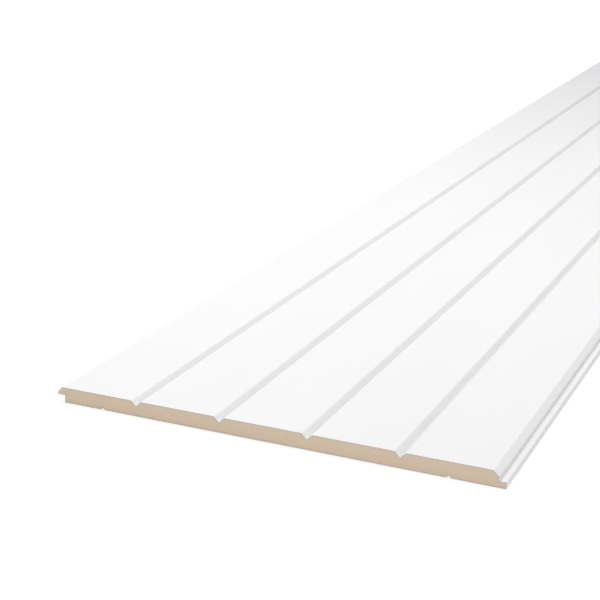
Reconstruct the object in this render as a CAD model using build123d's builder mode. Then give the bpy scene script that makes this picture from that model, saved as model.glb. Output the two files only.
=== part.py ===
"""V-grooved MDF wall panel with half-lapped long edges, machined from one board.

Millimetres. X runs across the boards, Y along the grooves and Z up through the painted face. The origin is
at the middle of the underside. The -X edge carries the upper lip, which laps over the tongue that a
neighbouring panel has on its +X edge, and the two close into a V like those on the face.
"""

import os
from math import radians, tan

from build123d import *

# Driving dimensions of the board and its face
panel_length = 2440.0
thickness = 12.0
board_pitch = 67.2  # from one groove to the next
board_count = 5  # flat boards shown between the grooves
groove_width = 8.0  # across the mouth of a V
groove_angle = 90.0  # between the two walls of a V
arris_radius = 0.4  # easing of the edges along the face

# Driving dimensions of the half-lap joint
nose_inset = 4.0  # from the joint's V mouth to the lip's nose and the wall that it meets
lip_thickness = 6.3  # from the face down to the lip's underside
lap_width = 5.8  # how far the lip reaches over the rebate
ledge_gap = 0.7  # between a lip's underside and the tongue below it
tongue_gap = 1.0  # between a tongue's end and the rebate's wall

# Driving dimensions of the two relief grooves in the underside
relief_width = 4.0
relief_depth = 2.0
relief_inset = 38.5  # from each long edge to the middle of its groove

# Worked-out sizes
run_per_drop = tan(radians(groove_angle / 2))  # sideways run of a V's wall for each millimetre down
groove_depth = groove_width / 2 / run_per_drop
cover_width = board_pitch * board_count  # width that one panel covers in a wall
overall_width = cover_width + lap_width - tongue_gap
nose_x = -overall_width / 2
tongue_end_x = overall_width / 2
cover_start_x = nose_x - nose_inset
cover_end_x = cover_start_x + cover_width
rebate_wall_x = nose_x + lap_width
shoulder_wall_x = cover_end_x + nose_inset
lip_underside_z = thickness - lip_thickness
ledge_z = lip_underside_z - ledge_gap

section_outline = [
    (cover_start_x + groove_width, thickness),
    (nose_x, thickness - (groove_width - nose_inset) / run_per_drop),
    (nose_x, lip_underside_z),
    (rebate_wall_x, lip_underside_z),
    (rebate_wall_x, 0),
    (tongue_end_x, 0),
    (tongue_end_x, ledge_z),
    (shoulder_wall_x, ledge_z),
    (shoulder_wall_x, thickness - nose_inset / run_per_drop),
    (cover_end_x, thickness),
]
groove_mouths = [(cover_start_x + board_pitch * n, thickness) for n in range(1, board_count)]
relief_centres = [(nose_x + relief_inset, 0), (tongue_end_x - relief_inset, 0)]

os.makedirs("parts", exist_ok=True)

with BuildPart() as grooved_panel:
    with BuildSketch(Plane.XZ) as section:
        with BuildLine():
            Polyline(section_outline, close=True)
        make_face()
        with Locations(groove_mouths):
            Polygon((0, 0), (groove_width / 2, -groove_depth), (groove_width, 0), mode=Mode.SUBTRACT)
        with Locations(relief_centres):
            Polygon((-relief_width / 2, 0), (relief_width / 2, 0), (0, relief_depth), mode=Mode.SUBTRACT)
        face_arrises = section.vertices().group_by(Axis.Y)[-1]
        fillet(face_arrises, arris_radius)
    extrude(amount=panel_length / 2, both=True)

grooved_panel.part.label = "grooved_panel"
export_step(grooved_panel.part, "parts/grooved_panel.step")
print("section area", round(section.sketch.area, 2), "volume", round(grooved_panel.part.volume))
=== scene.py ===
"""Looks of a V-grooved MDF wall panel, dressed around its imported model, in metres.

The panel lies face up on a pale floor. X runs across its boards, Y along its grooves and Z up through the
primed face. The near end, at the lowest Y, is a plain saw cut, and so is the far one.
"""

import logging
import math
from dataclasses import dataclass, field
from enum import Enum

import bmesh
import bpy
from mathutils import Matrix, Vector


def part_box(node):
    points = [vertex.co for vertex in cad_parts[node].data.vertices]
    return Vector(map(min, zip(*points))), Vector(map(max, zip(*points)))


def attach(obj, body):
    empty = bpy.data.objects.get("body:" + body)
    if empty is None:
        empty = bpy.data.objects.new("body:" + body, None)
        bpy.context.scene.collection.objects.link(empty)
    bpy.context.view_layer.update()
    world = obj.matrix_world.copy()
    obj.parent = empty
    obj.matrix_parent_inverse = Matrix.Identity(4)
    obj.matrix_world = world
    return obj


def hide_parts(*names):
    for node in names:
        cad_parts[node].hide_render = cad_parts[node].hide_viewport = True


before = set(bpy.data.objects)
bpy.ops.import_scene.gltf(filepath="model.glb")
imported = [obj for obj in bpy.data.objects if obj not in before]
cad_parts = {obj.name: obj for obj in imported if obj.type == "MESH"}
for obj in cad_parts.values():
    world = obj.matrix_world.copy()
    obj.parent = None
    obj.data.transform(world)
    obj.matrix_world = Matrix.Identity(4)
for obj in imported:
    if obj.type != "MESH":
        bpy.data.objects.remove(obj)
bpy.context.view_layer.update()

Socket = bpy.types.NodeSocket
Value = Socket | float | tuple
Colour = tuple[float, float, float]
Place = tuple[float, float, float]

LOG = logging.getLogger("panel")
CAD_NODE = "grooved_panel"
BODY = "root"
BAKE_MAP = "OFBake"
MM = 0.001
TOUCH = 0.05 * MM  # how near two places count as the same
FACE_SKIN = 0.2 * MM  # how far down an arris still counts as the face
LEAN = 0.1  # the least share of a normal that counts as facing a way
SQUARE_ON = 0.95  # the least share of a normal that counts as facing straight that way
NOISE_MOST = (0.25, 0.75)  # where most values of a noise lie
NOISE_ALL = (0.2, 0.8)  # where nearly all of them lie
SLOPE = math.sqrt(0.5)  # how far off a wall at 45 degrees lies for each step across
WAVE_TURN = math.pi / 10  # how far a wave texture runs in one turn, at a scale of 1


class Coat(Enum):
    """What a face of the panel wears. The value is its material slot."""

    FACE_PRIMER = 0
    # Primer with painted shade: darker in the grooves and on the lap walls.
    GROOVE_PRIMER = 1
    SAWN_END = 2
    SANDED_BACK = 3


@dataclass(frozen=True)
class BoardSection:
    """Section across the panel, with the half-lap on its long edges."""

    nose_x: float
    tongue_end_x: float
    thickness: float
    board_pitch: float = 67.2 * MM
    board_count: int = 5
    groove_width: float = 8.0 * MM
    nose_inset: float = 4.0 * MM
    lip_thickness: float = 6.3 * MM
    lap_width: float = 5.8 * MM
    ledge_gap: float = 0.7 * MM
    relief_width: float = 4.0 * MM
    relief_depth: float = 2.0 * MM
    relief_inset: float = 38.5 * MM

    @property
    def cover_start_x(self) -> float:
        """Where the joint's V opens on the lip's side."""
        return self.nose_x - self.nose_inset

    @property
    def cover_end_x(self) -> float:
        """Where the joint's V opens on the tongue's side."""
        return self.cover_start_x + self.board_pitch * self.board_count

    @property
    def rebate_wall_x(self) -> float:
        """The wall of the rebate under the lip."""
        return self.nose_x + self.lap_width

    @property
    def shoulder_wall_x(self) -> float:
        """The wall over the tongue."""
        return self.cover_end_x + self.nose_inset

    @property
    def lip_underside_z(self) -> float:
        """The height of the lip's underside."""
        return self.thickness - self.lip_thickness

    @property
    def ledge_z(self) -> float:
        """The height of the tongue's ledge."""
        return self.lip_underside_z - self.ledge_gap

    @property
    def relief_x(self) -> float:
        """How far the two relief grooves in the back lie from the middle."""
        return self.tongue_end_x - self.relief_inset

    def in_groove(self, x: float, z: float) -> bool:
        """Whether a point lies between the mouth and the root of a V-groove.

        Args:
            x: the point's place across the boards.
            z: its height.

        Returns:
            True in a groove of the face, False on a flat, a lap or the back.
        """
        inside = (x - self.cover_start_x) % self.board_pitch < self.groove_width
        between = self.cover_start_x + self.groove_width < x < self.cover_end_x
        depth = self.thickness - z
        return inside and between and FACE_SKIN < depth < self.groove_width / 2

    def on_lap_wall(self, x: float, z: float) -> bool:
        """Whether a point lies on the short wall over the tongue or on the tongue's end.

        Args:
            x: the point's place across the boards.
            z: its height.

        Returns:
            True on the two walls, False on the slope, the ledge and the back.
        """
        wall_x = self.shoulder_wall_x if z > self.ledge_z else self.tongue_end_x
        return abs(x - wall_x) < TOUCH and z < self.thickness - self.nose_inset

    def face_points(self) -> list[tuple[float, float]]:
        """The face from the lip to the shoulder, with its V-grooves at 45 degrees.

        Returns:
            Points (x, z), from low X to high X.
        """
        top, half = self.thickness, self.groove_width / 2
        points = [(self.cover_start_x + self.groove_width, top)]
        for n in range(1, self.board_count):
            mouth = self.cover_start_x + self.board_pitch * n
            points += [(mouth, top), (mouth + half, top - half), (mouth + 2 * half, top)]
        return points + [(self.cover_end_x, top)]

    def tongue_points(self) -> list[tuple[float, float]]:
        """The shoulder's wall, the ledge and the tongue's end.

        Returns:
            Points (x, z), from the face down to the back.
        """
        return [
            (self.shoulder_wall_x, self.thickness - self.nose_inset),
            (self.shoulder_wall_x, self.ledge_z),
            (self.tongue_end_x, self.ledge_z),
            (self.tongue_end_x, 0.0),
        ]

    def back_points(self) -> list[tuple[float, float]]:
        """The two relief grooves in the back.

        Returns:
            Points (x, z), from high X to low X.
        """
        points = []
        half = self.relief_width / 2
        for centre in (self.relief_x, -self.relief_x):
            points += [(centre + half, 0.0), (centre, self.relief_depth), (centre - half, 0.0)]
        return points

    def lip_points(self) -> list[tuple[float, float]]:
        """The rebate, the lip's underside and its nose.

        Returns:
            Points (x, z), from the back up to the nose.
        """
        return [
            (self.rebate_wall_x, 0.0),
            (self.rebate_wall_x, self.lip_underside_z),
            (self.nose_x, self.lip_underside_z),
            (self.nose_x, self.thickness - (self.groove_width - self.nose_inset)),
        ]

    def outline(self) -> list[tuple[float, float]]:
        """The whole section, once round.

        Returns:
            Points (x, z).
        """
        return self.face_points() + self.tongue_points() + self.back_points() + self.lip_points()


@dataclass(frozen=True)
class Grain:
    """One noise of a finish: how long its lumps are along X, Y and Z, and how it tints.

    The tint is nothing where the noise is at start, and reaches its share at end.
    """

    size: Place
    detail: float = 2.0
    rough: float = 0.5
    start: float = 0.3
    end: float = 0.7
    share: float = 1.0


class NodeSheet:
    """A material with one Principled shader, and short calls for the nodes that feed it."""

    def __init__(self, name: str) -> None:
        """Start the material with its shader, its output and its Object coordinates.

        Args:
            name: what the material is called.
        """
        self.material = bpy.data.materials.new(name)
        self.material.use_nodes = True
        self.tree = self.material.node_tree
        self.tree.nodes.clear()
        output = self.add("ShaderNodeOutputMaterial")
        self.shader = self.add("ShaderNodeBsdfPrincipled")
        self.join(self.shader.outputs["BSDF"], output.inputs["Surface"])
        self.place = self.add("ShaderNodeTexCoord").outputs["Object"]
        axes = self.add("ShaderNodeSeparateXYZ")
        self.join(self.place, axes.inputs["Vector"])
        self.x = axes.outputs["X"]
        self.z = axes.outputs["Z"]

    def add(self, kind: str, **settings: object) -> bpy.types.Node:
        """Add one node.

        Args:
            kind: Blender's name for the node's type.
            settings: the node's own properties.

        Returns:
            The new node.
        """
        node = self.tree.nodes.new(kind)
        for name, value in settings.items():
            setattr(node, name, value)
        return node

    def join(self, value: Value, socket: Socket) -> None:
        """Link a socket to an input, or set a plain value on it.

        Args:
            value: an output socket, a number or a colour.
            socket: the input that takes it.
        """
        if isinstance(value, Socket):
            self.tree.links.new(value, socket)
        elif isinstance(value, tuple) and socket.type == "RGBA":
            socket.default_value = (*value, 1.0)
        else:
            socket.default_value = value

    def noise(self, grain: Grain) -> Socket:
        """Noise with the lumps of a grain.

        Args:
            grain: its lumps and its finer octaves.

        Returns:
            A value around 0.5, mostly between 0.25 and 0.75.
        """
        mapping = self.add("ShaderNodeMapping")
        self.join(self.place, mapping.inputs["Vector"])
        mapping.inputs["Scale"].default_value = tuple(1.0 / step for step in grain.size)
        noise = self.add("ShaderNodeTexNoise")
        self.join(mapping.outputs["Vector"], noise.inputs["Vector"])
        noise.inputs["Scale"].default_value = 1.0
        noise.inputs["Detail"].default_value = grain.detail
        noise.inputs["Roughness"].default_value = grain.rough
        return noise.outputs["Fac"]

    def tint(self, noise: Socket, grain: Grain) -> Socket:
        """How far a grain's noise tints the colour that it lies on."""
        return self.span(noise, grain.start, grain.end, 0.0, grain.share)

    def span(self, value: Value, start: float, end: float, low: float = 0.0, high: float = 1.0) -> Socket:
        """Carry a value smoothly from one range to another, clamped at both ends.

        Args:
            value: what is carried over.
            start: the value that gives low.
            end: the value that gives high.
            low: the result at start.
            high: the result at end.

        Returns:
            The carried value.
        """
        node = self.add("ShaderNodeMapRange", interpolation_type="SMOOTHSTEP")
        names = ("Value", "From Min", "From Max", "To Min", "To Max")
        for name, given in zip(names, (value, start, end, low, high)):
            self.join(given, node.inputs[name])
        return node.outputs["Result"]

    def sums(self, operation: str, first: Value, second: Value = 0.0) -> Socket:
        """One step of arithmetic.

        Args:
            operation: Blender's name for the step, such as ADD.
            first: its first number.
            second: its second number, where the step has one.

        Returns:
            The result.
        """
        node = self.add("ShaderNodeMath", operation=operation)
        self.join(first, node.inputs[0])
        self.join(second, node.inputs[1])
        return node.outputs[0]

    def blend(self, share: Value, first: Value, second: Value) -> Socket:
        """Mix two colours.

        Args:
            share: 0 for all of the first, 1 for all of the second.
            first: one colour.
            second: the other.

        Returns:
            The mixed colour.
        """
        node = self.add("ShaderNodeMix", data_type="RGBA")
        sockets = {socket.identifier: socket for socket in node.inputs}
        self.join(share, sockets["Factor_Float"])
        self.join(first, sockets["A_Color"])
        self.join(second, sockets["B_Color"])
        return next(s for s in node.outputs if s.identifier == "Result_Color")

    def relief(self, height: Socket, depth: float, under: Socket | None = None) -> Socket:
        """Bump from a height between 0 and 1.

        Args:
            height: the height.
            depth: how far apart 0 and 1 lie, in metres.
            under: a bump that this one lies on.

        Returns:
            The bumped normal.
        """
        node = self.add("ShaderNodeBump")
        node.inputs["Strength"].default_value = 1.0
        node.inputs["Distance"].default_value = depth
        self.join(height, node.inputs["Height"])
        if under is not None:
            self.join(under, node.inputs["Normal"])
        return node.outputs["Normal"]


@dataclass(frozen=True)
class PrimerPaint:
    """Factory-rolled white primer: satin on the face, duller below it where the cut core soaks it up, and
    a little darker there. In the groove coat that darker colour is painted shade.
    """

    name: str
    thickness: float
    face: Colour = (0.905, 0.905, 0.903)
    face_shade: Colour = (0.890, 0.890, 0.889)
    # The colour below the face: a little darker than the face, and painted shade in the groove coat.
    toned_down: Colour = (0.882, 0.881, 0.877)
    toned_down_mottle: Colour = (0.868, 0.867, 0.862)
    face_roughness: float = 0.50
    soaked_roughness: float = 0.58
    roughness_swing: float = 0.04
    shine: float = 0.25
    toned_down_depth: float = 1.2 * MM
    cloud: Grain = Grain((90 * MM, 350 * MM, 90 * MM))
    streak: Grain = Grain((1.6 * MM, 180 * MM, 1.6 * MM), detail=3.0, start=0.35, end=0.8, share=0.5)
    roller: Grain = Grain((2.4 * MM, 3.36 * MM, 2.4 * MM))
    fibre: Grain = Grain((0.35 * MM, 1.6 * MM, 0.35 * MM), detail=3.0, rough=0.6, start=0.35, end=0.75)
    roller_depth: float = 0.006 * MM
    fibre_depth: float = 0.02 * MM

    def material(self) -> bpy.types.Material:
        """Make the paint.

        Returns:
            The finished material.
        """
        sheet = NodeSheet(self.name)
        shader = sheet.shader.inputs
        below_face = sheet.span(sheet.z, self.thickness - FACE_SKIN, self.thickness - self.toned_down_depth)
        cloud = sheet.noise(self.cloud)
        streak = sheet.noise(self.streak)
        roller = sheet.noise(self.roller)
        fibre = sheet.noise(self.fibre)
        face = sheet.blend(sheet.tint(cloud, self.cloud), self.face_shade, self.face)
        face = sheet.blend(sheet.tint(streak, self.streak), face, self.face_shade)
        below_face_colour = sheet.blend(sheet.tint(fibre, self.fibre), self.toned_down_mottle, self.toned_down)
        # Darker below the face; in the groove coat this is painted shade.
        sheet.join(sheet.blend(below_face, face, below_face_colour), shader["Base Color"])
        even = sheet.span(below_face, 0.0, 1.0, self.face_roughness, self.soaked_roughness)
        swing = sheet.span(roller, *NOISE_MOST, -self.roughness_swing, self.roughness_swing)
        sheet.join(sheet.sums("ADD", even, swing), shader["Roughness"])
        shader["Specular IOR Level"].default_value = self.shine
        skin = sheet.relief(roller, self.roller_depth)
        raised = sheet.relief(sheet.sums("MULTIPLY", fibre, below_face), self.fibre_depth, skin)
        sheet.join(raised, shader["Normal"])
        return sheet.material


@dataclass(frozen=True)
class SawnMdf:
    """Raw MDF on a saw cut: felted fibre in thin layers, greyer where the primer has soaked in."""

    section: BoardSection
    pale: Colour = (0.655, 0.53, 0.405)
    deep: Colour = (0.56, 0.445, 0.335)
    rim: Colour = (0.49, 0.46, 0.415)
    fleck: Colour = (0.40, 0.30, 0.21)
    layers: Grain = Grain((1.8 * MM, 1.8 * MM, 0.45 * MM), detail=4.0, rough=0.65, start=0.2, end=0.8)
    speckle: Grain = Grain(
        (0.32 * MM, 0.32 * MM, 0.24 * MM), detail=3.0, rough=0.65, start=0.35, end=0.7, share=0.45
    )
    bundles: Grain = Grain((0.55 * MM, 0.55 * MM, 0.2 * MM), detail=1.0, start=0.66, end=0.78, share=0.3)
    rim_depth: float = 2.0 * MM
    rim_share: float = 0.85
    rim_rag: float = 0.25 * MM
    roughness: float = 0.88
    shine: float = 0.25
    fibre_depth: float = 0.06 * MM
    saw_pitch: float = 1.9 * MM
    saw_depth: float = 0.03 * MM
    saw_tilt_deg: float = 12.0
    saw_wander: float = 2.5
    wander_detail: float = 2.0
    wander_scale: float = 0.6

    def material(self) -> bpy.types.Material:
        """Make the sawn fibre.

        Returns:
            The finished material.
        """
        sheet = NodeSheet("sawn_mdf_end")
        shader = sheet.shader.inputs
        layers = sheet.noise(self.layers)
        speckle = sheet.noise(self.speckle)
        bundles = sheet.noise(self.bundles)
        colour = sheet.blend(sheet.tint(layers, self.layers), self.deep, self.pale)
        colour = sheet.blend(sheet.tint(speckle, self.speckle), colour, self.pale)
        colour = sheet.blend(sheet.tint(bundles, self.bundles), colour, self.fleck)
        rag = sheet.span(speckle, *NOISE_MOST, -self.rim_rag, self.rim_rag)
        ragged = sheet.sums("ADD", self.inside(sheet), rag)
        toned_down = sheet.span(ragged, 0.0, self.rim_depth, self.rim_share, 0.0)
        sheet.join(sheet.blend(toned_down, colour, self.rim), shader["Base Color"])
        shader["Roughness"].default_value = self.roughness
        shader["Specular IOR Level"].default_value = self.shine
        saw = self.saw_marks(sheet)
        felt = sheet.relief(speckle, self.fibre_depth)
        sheet.join(sheet.relief(saw, self.saw_depth, felt), shader["Normal"])
        return sheet.material

    def inside(self, sheet: NodeSheet) -> Socket:
        """How far a point of the cut lies inside the section's outline.

        Args:
            sheet: the material that asks.

        Returns:
            The depth in metres, close to true within a few millimetres of the outline.
        """
        section, sums = self.section, sheet.sums
        half = section.groove_width / 2
        from_nose = sums("SUBTRACT", sheet.x, section.nose_x)
        to_root = sums("PINGPONG", from_nose, section.board_pitch / 2)
        over_root = sums("SUBTRACT", sheet.z, section.thickness - half)
        groove = sums("MULTIPLY", sums("SUBTRACT", to_root, over_root), SLOPE)
        to_relief = sums("ABSOLUTE", sums("SUBTRACT", sums("ABSOLUTE", sheet.x), section.relief_x))
        over_relief = sums("SUBTRACT", sheet.z, section.relief_depth)
        relief = sums("MULTIPLY", sums("ADD", to_relief, over_relief), SLOPE)
        rebate_side = sums("SUBTRACT", sheet.x, section.rebate_wall_x)
        rebate = sums("MAXIMUM", rebate_side, sums("SUBTRACT", sheet.z, section.lip_underside_z))
        seat_side = sums("SUBTRACT", section.shoulder_wall_x, sheet.x)
        seat = sums("MAXIMUM", seat_side, sums("SUBTRACT", section.ledge_z, sheet.z))
        to_tongue_end = sums("SUBTRACT", section.tongue_end_x, sheet.x)
        depth = sums("MINIMUM", sheet.z, sums("SUBTRACT", section.thickness, sheet.z))
        for other in (groove, relief, rebate, seat, from_nose, to_tongue_end):
            depth = sums("MINIMUM", depth, other)
        return depth

    def saw_marks(self, sheet: NodeSheet) -> Socket:
        """Near-upright lines that the blade's teeth leave across the cut.

        Args:
            sheet: the material that they belong to.

        Returns:
            Their height, between 0 and 1.
        """
        tilt = sheet.add("ShaderNodeMapping")
        tilt.inputs["Rotation"].default_value = (0.0, math.radians(self.saw_tilt_deg), 0.0)
        sheet.join(sheet.place, tilt.inputs["Vector"])
        wave = sheet.add("ShaderNodeTexWave", bands_direction="X")
        sheet.join(tilt.outputs["Vector"], wave.inputs["Vector"])
        wave.inputs["Scale"].default_value = WAVE_TURN / self.saw_pitch
        wave.inputs["Distortion"].default_value = self.saw_wander
        wave.inputs["Detail"].default_value = self.wander_detail
        wave.inputs["Detail Scale"].default_value = self.wander_scale
        return wave.outputs["Fac"]


@dataclass(frozen=True)
class SandedMdf:
    """Raw MDF on the back: sanded flat, with the primer's mist along both long edges."""

    edge_x: float
    pale: Colour = (0.60, 0.475, 0.35)
    deep: Colour = (0.53, 0.41, 0.295)
    fleck: Colour = (0.37, 0.26, 0.175)
    mist: Colour = (0.86, 0.855, 0.84)
    cloud: Grain = Grain((50 * MM, 120 * MM, 50 * MM), detail=3.0)
    felt: Grain = Grain((1.4 * MM, 1.8 * MM, 1.4 * MM), detail=4.0, rough=0.7, start=0.35, share=0.5)
    bundles: Grain = Grain((0.7 * MM, 3.0 * MM, 0.7 * MM), detail=1.0, start=0.64, end=0.74, share=0.5)
    sanding: Grain = Grain((0.5 * MM, 120 * MM, 0.5 * MM), detail=3.0)
    mist_reach: float = 9.0 * MM
    mist_share: float = 0.85
    mist_rag: float = 2.5 * MM
    roughness: float = 0.78
    shine: float = 0.3
    sanding_depth: float = 0.01 * MM

    def material(self) -> bpy.types.Material:
        """Make the sanded fibre.

        Returns:
            The finished material.
        """
        sheet = NodeSheet("sanded_mdf_back")
        shader = sheet.shader.inputs
        cloud = sheet.noise(self.cloud)
        felt = sheet.noise(self.felt)
        bundles = sheet.noise(self.bundles)
        sanding = sheet.noise(self.sanding)
        colour = sheet.blend(sheet.tint(cloud, self.cloud), self.deep, self.pale)
        colour = sheet.blend(sheet.tint(felt, self.felt), colour, self.deep)
        colour = sheet.blend(sheet.tint(bundles, self.bundles), colour, self.fleck)
        from_edge = sheet.sums("SUBTRACT", self.edge_x, sheet.sums("ABSOLUTE", sheet.x))
        rag = sheet.span(felt, *NOISE_ALL, -self.mist_rag, self.mist_rag)
        ragged = sheet.sums("ADD", from_edge, rag)
        misted = sheet.span(ragged, 0.0, self.mist_reach, self.mist_share, 0.0)
        sheet.join(sheet.blend(misted, colour, self.mist), shader["Base Color"])
        shader["Roughness"].default_value = self.roughness
        shader["Specular IOR Level"].default_value = self.shine
        sheet.join(sheet.relief(sanding, self.sanding_depth), shader["Normal"])
        return sheet.material


@dataclass
class GroovedPanel:
    """The panel's mesh, its coats and its bake map."""

    section: BoardSection
    near_y: float
    far_y: float
    name: str = "primed_panel"
    arris_radius: float = 0.4 * MM
    corner_radius: float = 0.3 * MM
    arris_steps: int = 4
    saw_break: float = 0.1 * MM
    map_margin: float = 0.008
    end_share: float = 0.055
    # The darker primer colours in the grooves and on the lap walls are painted shade.
    groove_painted_shade: Colour = (0.832, 0.831, 0.827)
    groove_painted_shade_mottle: Colour = (0.812, 0.811, 0.806)
    mesh: bmesh.types.BMesh = field(default_factory=bmesh.new)

    def make(self) -> bpy.types.Object:
        """Build the panel, coat it and give it to its body.

        Returns:
            The finished piece.
        """
        self.draw_section()
        self.ease_edges()
        self.settle_order()
        self.break_ends()
        self.settle_order()
        self.coat_faces()
        self.lay_bake_map()
        piece = self.link_object()
        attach(piece, BODY)
        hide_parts(CAD_NODE)
        return piece

    def draw_section(self) -> None:
        """Draw the section at both ends and bridge the two along the length."""
        rings: list[bmesh.types.BMEdge] = []
        for y in (self.near_y + self.saw_break, self.far_y - self.saw_break):
            corners = [self.mesh.verts.new((x, y, z)) for x, z in self.section.outline()]
            rings += self.mesh.faces.new(corners).edges
        bmesh.ops.bridge_loops(self.mesh, edges=rings)
        bmesh.ops.recalc_face_normals(self.mesh, faces=self.mesh.faces)

    def settle_order(self) -> None:
        """List the faces by their corners, because a bevel lists them differently on each run."""
        self.mesh.verts.index_update()
        listed = sorted(self.mesh.faces, key=lambda face: [vert.index for vert in face.verts])
        rank = {face: n for n, face in enumerate(listed)}
        self.mesh.faces.sort(key=rank.get)

    def long_edges(self) -> list[bmesh.types.BMEdge]:
        """Every edge that runs the length of the panel.

        Returns:
            The edges.
        """
        reach = (self.far_y - self.near_y) / 2
        return [e for e in self.mesh.edges if abs(e.verts[0].co.y - e.verts[1].co.y) > reach]

    def ease_edges(self) -> None:
        """Round the arrises of the face and the other outer corners along the length."""
        top = self.section.thickness
        alike: dict[tuple[float, int], list[bmesh.types.BMEdge]] = {}
        for edge in self.long_edges():
            if edge.is_convex:
                on_face = abs(edge.verts[0].co.z - top) < TOUCH
                radius = self.arris_radius if on_face else self.corner_radius
                turn = round(math.degrees(edge.calc_face_angle()))
                alike.setdefault((radius, turn), []).append(edge)
        for (radius, turn), edges in alike.items():
            rounded = bmesh.ops.bevel(
                self.mesh,
                geom=edges,
                offset=radius * math.tan(math.radians(turn) / 2),
                offset_type="OFFSET",
                affect="EDGES",
                segments=self.arris_steps,
                profile=0.5,
                material=-1,
                clamp_overlap=True,
            )
            for face in rounded["faces"]:
                face.smooth = True

    def is_end(self, face: bmesh.types.BMFace) -> bool:
        """Whether a face belongs to a saw cut."""
        return abs(face.normal.y) > LEAN

    def break_ends(self) -> None:
        """Break the sharp edge round both saw cuts, and split the cuts into plain triangles."""
        cuts = [face for face in self.mesh.faces if self.is_end(face)]
        bmesh.ops.inset_individual(
            self.mesh,
            faces=cuts,
            thickness=self.saw_break,
            depth=self.saw_break,
            use_even_offset=True,
        )
        bmesh.ops.triangulate(
            self.mesh,
            faces=[face for face in self.mesh.faces if len(face.verts) > 4],
            quad_method="BEAUTY",
            ngon_method="BEAUTY",
        )
        self.mesh.normal_update()

    def coat_of(self, face: bmesh.types.BMFace) -> Coat:
        """Choose the coat of one face.

        Args:
            face: a face of the finished shape.

        Returns:
            Its coat. Where the broken edge of a saw cut looks up, it still carries the primer.
        """
        x, _, z = face.calc_center_median()
        sawn = face.normal.z < LEAN or abs(face.normal.y) > SQUARE_ON
        if self.is_end(face) and sawn:
            return Coat.SAWN_END
        if z < self.section.relief_depth and face.normal.z < -LEAN and not face.smooth:
            return Coat.SANDED_BACK
        # The grooves and the lap walls get the primer with painted shade.
        if self.section.in_groove(x, z) or self.section.on_lap_wall(x, z):
            return Coat.GROOVE_PRIMER
        return Coat.FACE_PRIMER

    def coat_faces(self) -> None:
        """Give every face its coat, and a crisp edge where a rounded strip meets a flat."""
        for face in self.mesh.faces:
            face.material_index = self.coat_of(face).value
        for edge in self.mesh.edges:
            edge.smooth = all(face.smooth for face in edge.link_faces)

    def lay_bake_map(self) -> None:
        """Lay out a map in which the two saw cuts get more room than their size would give them."""
        layer = self.mesh.loops.layers.uv.new(BAKE_MAP)
        section, margin = self.section, self.map_margin
        width = section.tongue_end_x - section.nose_x
        room = 1.0 - 2 * margin
        for face in self.mesh.faces:
            if not self.is_end(face):
                continue
            row = 0 if face.normal.y < 0 else 1
            base = margin + row * (self.end_share + margin)
            for loop in face.loops:
                across = (loop.vert.co.x - section.nose_x) / width
                up = loop.vert.co.z / section.thickness
                loop[layer].uv = (margin + across * room, base + up * self.end_share)
        self.unroll_strips(layer, base=2 * self.end_share + 3 * margin)

    def unroll_strips(self, layer: bmesh.types.BMLayerItem, base: float) -> None:
        """Walk round the section and lay its long strips side by side.

        Args:
            layer: the map.
            base: where the strips start, up the map.
        """
        margin = self.map_margin
        strips = [face for face in self.mesh.faces if not self.is_end(face)]
        girth = sum(self.strip_width(face) for face in strips)
        scale = (1.0 - margin - base) / girth
        strip = max(strips, key=self.strip_width)
        edge = min(strip.edges, key=lambda side: sum(vert.co.x for vert in side.verts))
        walked = 0.0
        for _ in strips:
            far_edge = next(e for e in strip.edges if not set(e.verts) & set(edge.verts))
            across = {vert: walked for vert in edge.verts}
            walked += self.strip_width(strip)
            across |= {vert: walked for vert in far_edge.verts}
            for loop in strip.loops:
                along = (loop.vert.co.y - self.near_y) / (self.far_y - self.near_y)
                loop[layer].uv = (margin + along * (1.0 - 2 * margin), base + across[loop.vert] * scale)
            strip = next(face for face in far_edge.link_faces if face is not strip)
            edge = far_edge

    def strip_width(self, face: bmesh.types.BMFace) -> float:
        """How wide a long strip is round the section."""
        return face.calc_area() / (self.far_y - self.near_y - 2 * self.saw_break)

    def link_object(self) -> bpy.types.Object:
        """Turn the mesh into an object of the scene, with its coats in their slots.

        Returns:
            The object.
        """
        data = bpy.data.meshes.new(self.name)
        self.mesh.to_mesh(data)
        self.mesh.free()
        data.update()
        edge_x = max(abs(self.section.nose_x), abs(self.section.tongue_end_x))
        coats = {
            Coat.FACE_PRIMER: PrimerPaint("face_primer", self.section.thickness),
            # The same primer, with painted shade as its darker colour below the face.
            Coat.GROOVE_PRIMER: PrimerPaint(
                "groove_primer_painted_shade",
                self.section.thickness,
                toned_down=self.groove_painted_shade,
                toned_down_mottle=self.groove_painted_shade_mottle,
            ),
            Coat.SAWN_END: SawnMdf(self.section),
            Coat.SANDED_BACK: SandedMdf(edge_x),
        }
        for coat in Coat:
            data.materials.append(coats[coat].material())
        piece = bpy.data.objects.new(self.name, data)
        bpy.context.scene.collection.objects.link(piece)
        return piece


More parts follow.
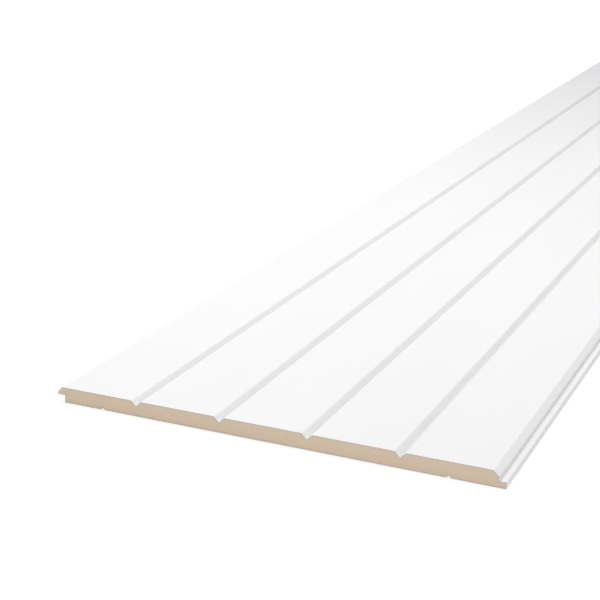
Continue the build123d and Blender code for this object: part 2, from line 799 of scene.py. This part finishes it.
@dataclass(frozen=True)
class StudioFloor:
    """Plain pale floor that reads as white and still takes the panel's shadow."""

    reach: float = 30.0
    drop: float = 0.02 * MM
    pale: Colour = (0.88, 0.88, 0.88)
    shown: Colour = (0.42, 0.42, 0.42)
    bounce_glow: float = 0.10
    lit_glow: float = 0.66
    far_glow: float = 0.82
    lit_middle: Place = (-0.4, -0.75, 0.0)
    lit_reach: tuple[float, float] = (0.3, 2.2)

    def make(self) -> bpy.types.Object:
        """Lay the floor just under the panel.

        Returns:
            The floor.
        """
        mesh = bmesh.new()
        bmesh.ops.create_grid(mesh, x_segments=1, y_segments=1, size=self.reach)
        bmesh.ops.translate(mesh, verts=mesh.verts, vec=(0.0, 0.0, -self.drop))
        data = bpy.data.meshes.new("floor")
        mesh.to_mesh(data)
        mesh.free()
        data.materials.append(self.material())
        floor = bpy.data.objects.new("floor", data)
        bpy.context.scene.collection.objects.link(floor)
        return floor

    def material(self) -> bpy.types.Material:
        """Make a matt floor that lifts to white where it is looked at, and most where the key falls off.

        Returns:
            The floor's material.
        """
        material = bpy.data.materials.new("pale_floor")
        material.use_nodes = True
        tree = material.node_tree
        tree.nodes.clear()
        output = tree.nodes.new("ShaderNodeOutputMaterial")
        either = tree.nodes.new("ShaderNodeMixShader")
        tree.links.new(seen_directly(tree), either.inputs["Fac"])
        bounced = self.glowing_matt(tree, self.pale, either.inputs[1])
        bounced.default_value = self.bounce_glow
        looked_at = self.glowing_matt(tree, self.shown, either.inputs[2])
        tree.links.new(self.shown_glow(tree), looked_at)
        tree.links.new(either.outputs["Shader"], output.inputs["Surface"])
        return material

    def glowing_matt(self, tree: bpy.types.NodeTree, colour: Colour, surface: Socket) -> Socket:
        """Make a matt colour that also glows.

        Args:
            tree: the floor's node tree.
            colour: the matt colour.
            surface: the shader input that takes it.

        Returns:
            The input for the glow's strength.
        """
        matt = tree.nodes.new("ShaderNodeBsdfDiffuse")
        matt.inputs["Color"].default_value = (*colour, 1.0)
        glow = tree.nodes.new("ShaderNodeEmission")
        lifted = tree.nodes.new("ShaderNodeAddShader")
        tree.links.new(matt.outputs["BSDF"], lifted.inputs[0])
        tree.links.new(glow.outputs["Emission"], lifted.inputs[1])
        tree.links.new(lifted.outputs["Shader"], surface)
        return glow.inputs["Strength"]

    def shown_glow(self, tree: bpy.types.NodeTree) -> Socket:
        """How strongly the floor glows to the eye, from under the key lamp outwards.

        Args:
            tree: the floor's node tree.

        Returns:
            The strength.
        """
        place = tree.nodes.new("ShaderNodeTexCoord").outputs["Object"]
        away = tree.nodes.new("ShaderNodeVectorMath")
        away.operation = "DISTANCE"
        tree.links.new(place, away.inputs[0])
        away.inputs[1].default_value = self.lit_middle
        fade = tree.nodes.new("ShaderNodeMapRange")
        fade.interpolation_type = "SMOOTHSTEP"
        tree.links.new(away.outputs["Value"], fade.inputs["Value"])
        limits = (*self.lit_reach, self.lit_glow, self.far_glow)
        for name, value in zip(("From Min", "From Max", "To Min", "To Max"), limits):
            fade.inputs[name].default_value = value
        return fade.outputs["Result"]


@dataclass(frozen=True)
class Softbox:
    """One oblong area lamp."""

    name: str
    place: Place
    aim: Place
    size: tuple[float, float]
    power: float

    def make(self) -> bpy.types.Object:
        """Hang the lamp and turn it to its aim.

        Returns:
            The lamp.
        """
        data = bpy.data.lights.new(self.name, "AREA")
        data.shape = "RECTANGLE"
        data.size, data.size_y = self.size
        data.energy = self.power
        lamp = bpy.data.objects.new(self.name, data)
        lamp.location = self.place
        towards = Vector(self.aim) - Vector(self.place)
        lamp.rotation_euler = towards.to_track_quat("-Z", "Y").to_euler()
        bpy.context.scene.collection.objects.link(lamp)
        return lamp


@dataclass(frozen=True)
class Studio:
    """Soft light round the panel: an even white room, a key overhead and a low fill in front."""

    room: float = 0.50
    lamps: tuple[Softbox, ...] = (
        Softbox(
            name="key",
            place=(-0.4, -0.75, 1.6),
            aim=(-0.4, -0.75, 0.0),
            size=(1.4, 1.0),
            power=16.9,
        ),
        Softbox(
            name="front_fill",
            place=(0.9, -3.1, 0.45),
            aim=(0.0, -1.22, 0.0),
            size=(0.8, 0.8),
            power=13.6,
        ),
    )

    def make(self) -> None:
        """Light the room and hang the lamps."""
        world = bpy.data.worlds.new("white_room")
        world.use_nodes = True
        tree = world.node_tree
        tree.nodes.clear()
        output = tree.nodes.new("ShaderNodeOutputWorld")
        lighting = tree.nodes.new("ShaderNodeBackground")
        lighting.inputs["Strength"].default_value = self.room
        shown = tree.nodes.new("ShaderNodeBackground")
        shown.inputs["Strength"].default_value = 1.0
        for background in (lighting, shown):
            background.inputs["Color"].default_value = (1.0, 1.0, 1.0, 1.0)
        either = tree.nodes.new("ShaderNodeMixShader")
        tree.links.new(seen_directly(tree), either.inputs["Fac"])
        tree.links.new(lighting.outputs["Background"], either.inputs[1])
        tree.links.new(shown.outputs["Background"], either.inputs[2])
        tree.links.new(either.outputs["Shader"], output.inputs["Surface"])
        bpy.context.scene.world = world
        for lamp in self.lamps:
            lamp.make()
            LOG.info("lamp %s", lamp.name)


def seen_directly(tree: bpy.types.NodeTree) -> Socket:
    """Whether a ray comes from the camera, a reflection or a clear material.

    Args:
        tree: the node tree that asks.

    Returns:
        A socket that is 1 for such rays and 0 for the light's own.
    """
    path = tree.nodes.new("ShaderNodeLightPath")
    found = path.outputs["Is Camera Ray"]
    for name in ("Is Glossy Ray", "Is Transmission Ray"):
        larger = tree.nodes.new("ShaderNodeMath")
        larger.operation = "MAXIMUM"
        tree.links.new(found, larger.inputs[0])
        tree.links.new(path.outputs[name], larger.inputs[1])
        found = larger.outputs[0]
    return found


@dataclass(frozen=True)
class PhotoCamera:
    """Camera at the photograph's standpoint, set out from the middle of the panel's near end."""

    near_y: float
    face_z: float
    aside: float = 371.55 * MM
    behind: float = 734.8 * MM
    above: float = 370.9 * MM
    turn_deg: float = 25.15
    dip_deg: float = 18.80
    roll_deg: float = -0.23
    lens: float = 79.0
    sensor: float = 36.0
    sight: float = 100.0

    def make(self) -> bpy.types.Object:
        """Stand the camera and make it the scene's own.

        Returns:
            The camera.
        """
        data = bpy.data.cameras.new("photo_camera")
        data.lens = self.lens
        data.sensor_width = self.sensor
        data.clip_end = self.sight
        camera = bpy.data.objects.new("photo_camera", data)
        place = Matrix.Translation((self.aside, self.near_y - self.behind, self.face_z + self.above))
        turn = Matrix.Rotation(math.radians(self.turn_deg), 4, "Z")
        dip = Matrix.Rotation(math.radians(90.0 - self.dip_deg), 4, "X")
        roll = Matrix.Rotation(math.radians(self.roll_deg), 4, "Z")
        camera.matrix_world = place @ turn @ dip @ roll
        bpy.context.scene.collection.objects.link(camera)
        bpy.context.scene.camera = camera
        return camera


def main() -> None:
    """Build the panel, the studio and the camera, and report each piece."""
    logging.basicConfig(level=logging.INFO, format="%(name)s: %(message)s")
    low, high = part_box(CAD_NODE)
    section = BoardSection(low.x, high.x, high.z - low.z)
    panel = GroovedPanel(section, low.y, high.y).make()
    LOG.info("piece %s with %d faces", panel.name, len(panel.data.polygons))
    floor = StudioFloor().make()
    LOG.info("stage %s", floor.name)
    Studio().make()
    camera = PhotoCamera(low.y, high.z).make()
    LOG.info("camera %s", camera.name)
    bpy.context.scene.view_settings.view_transform = "Standard"


if __name__ == "__main__":
    main()
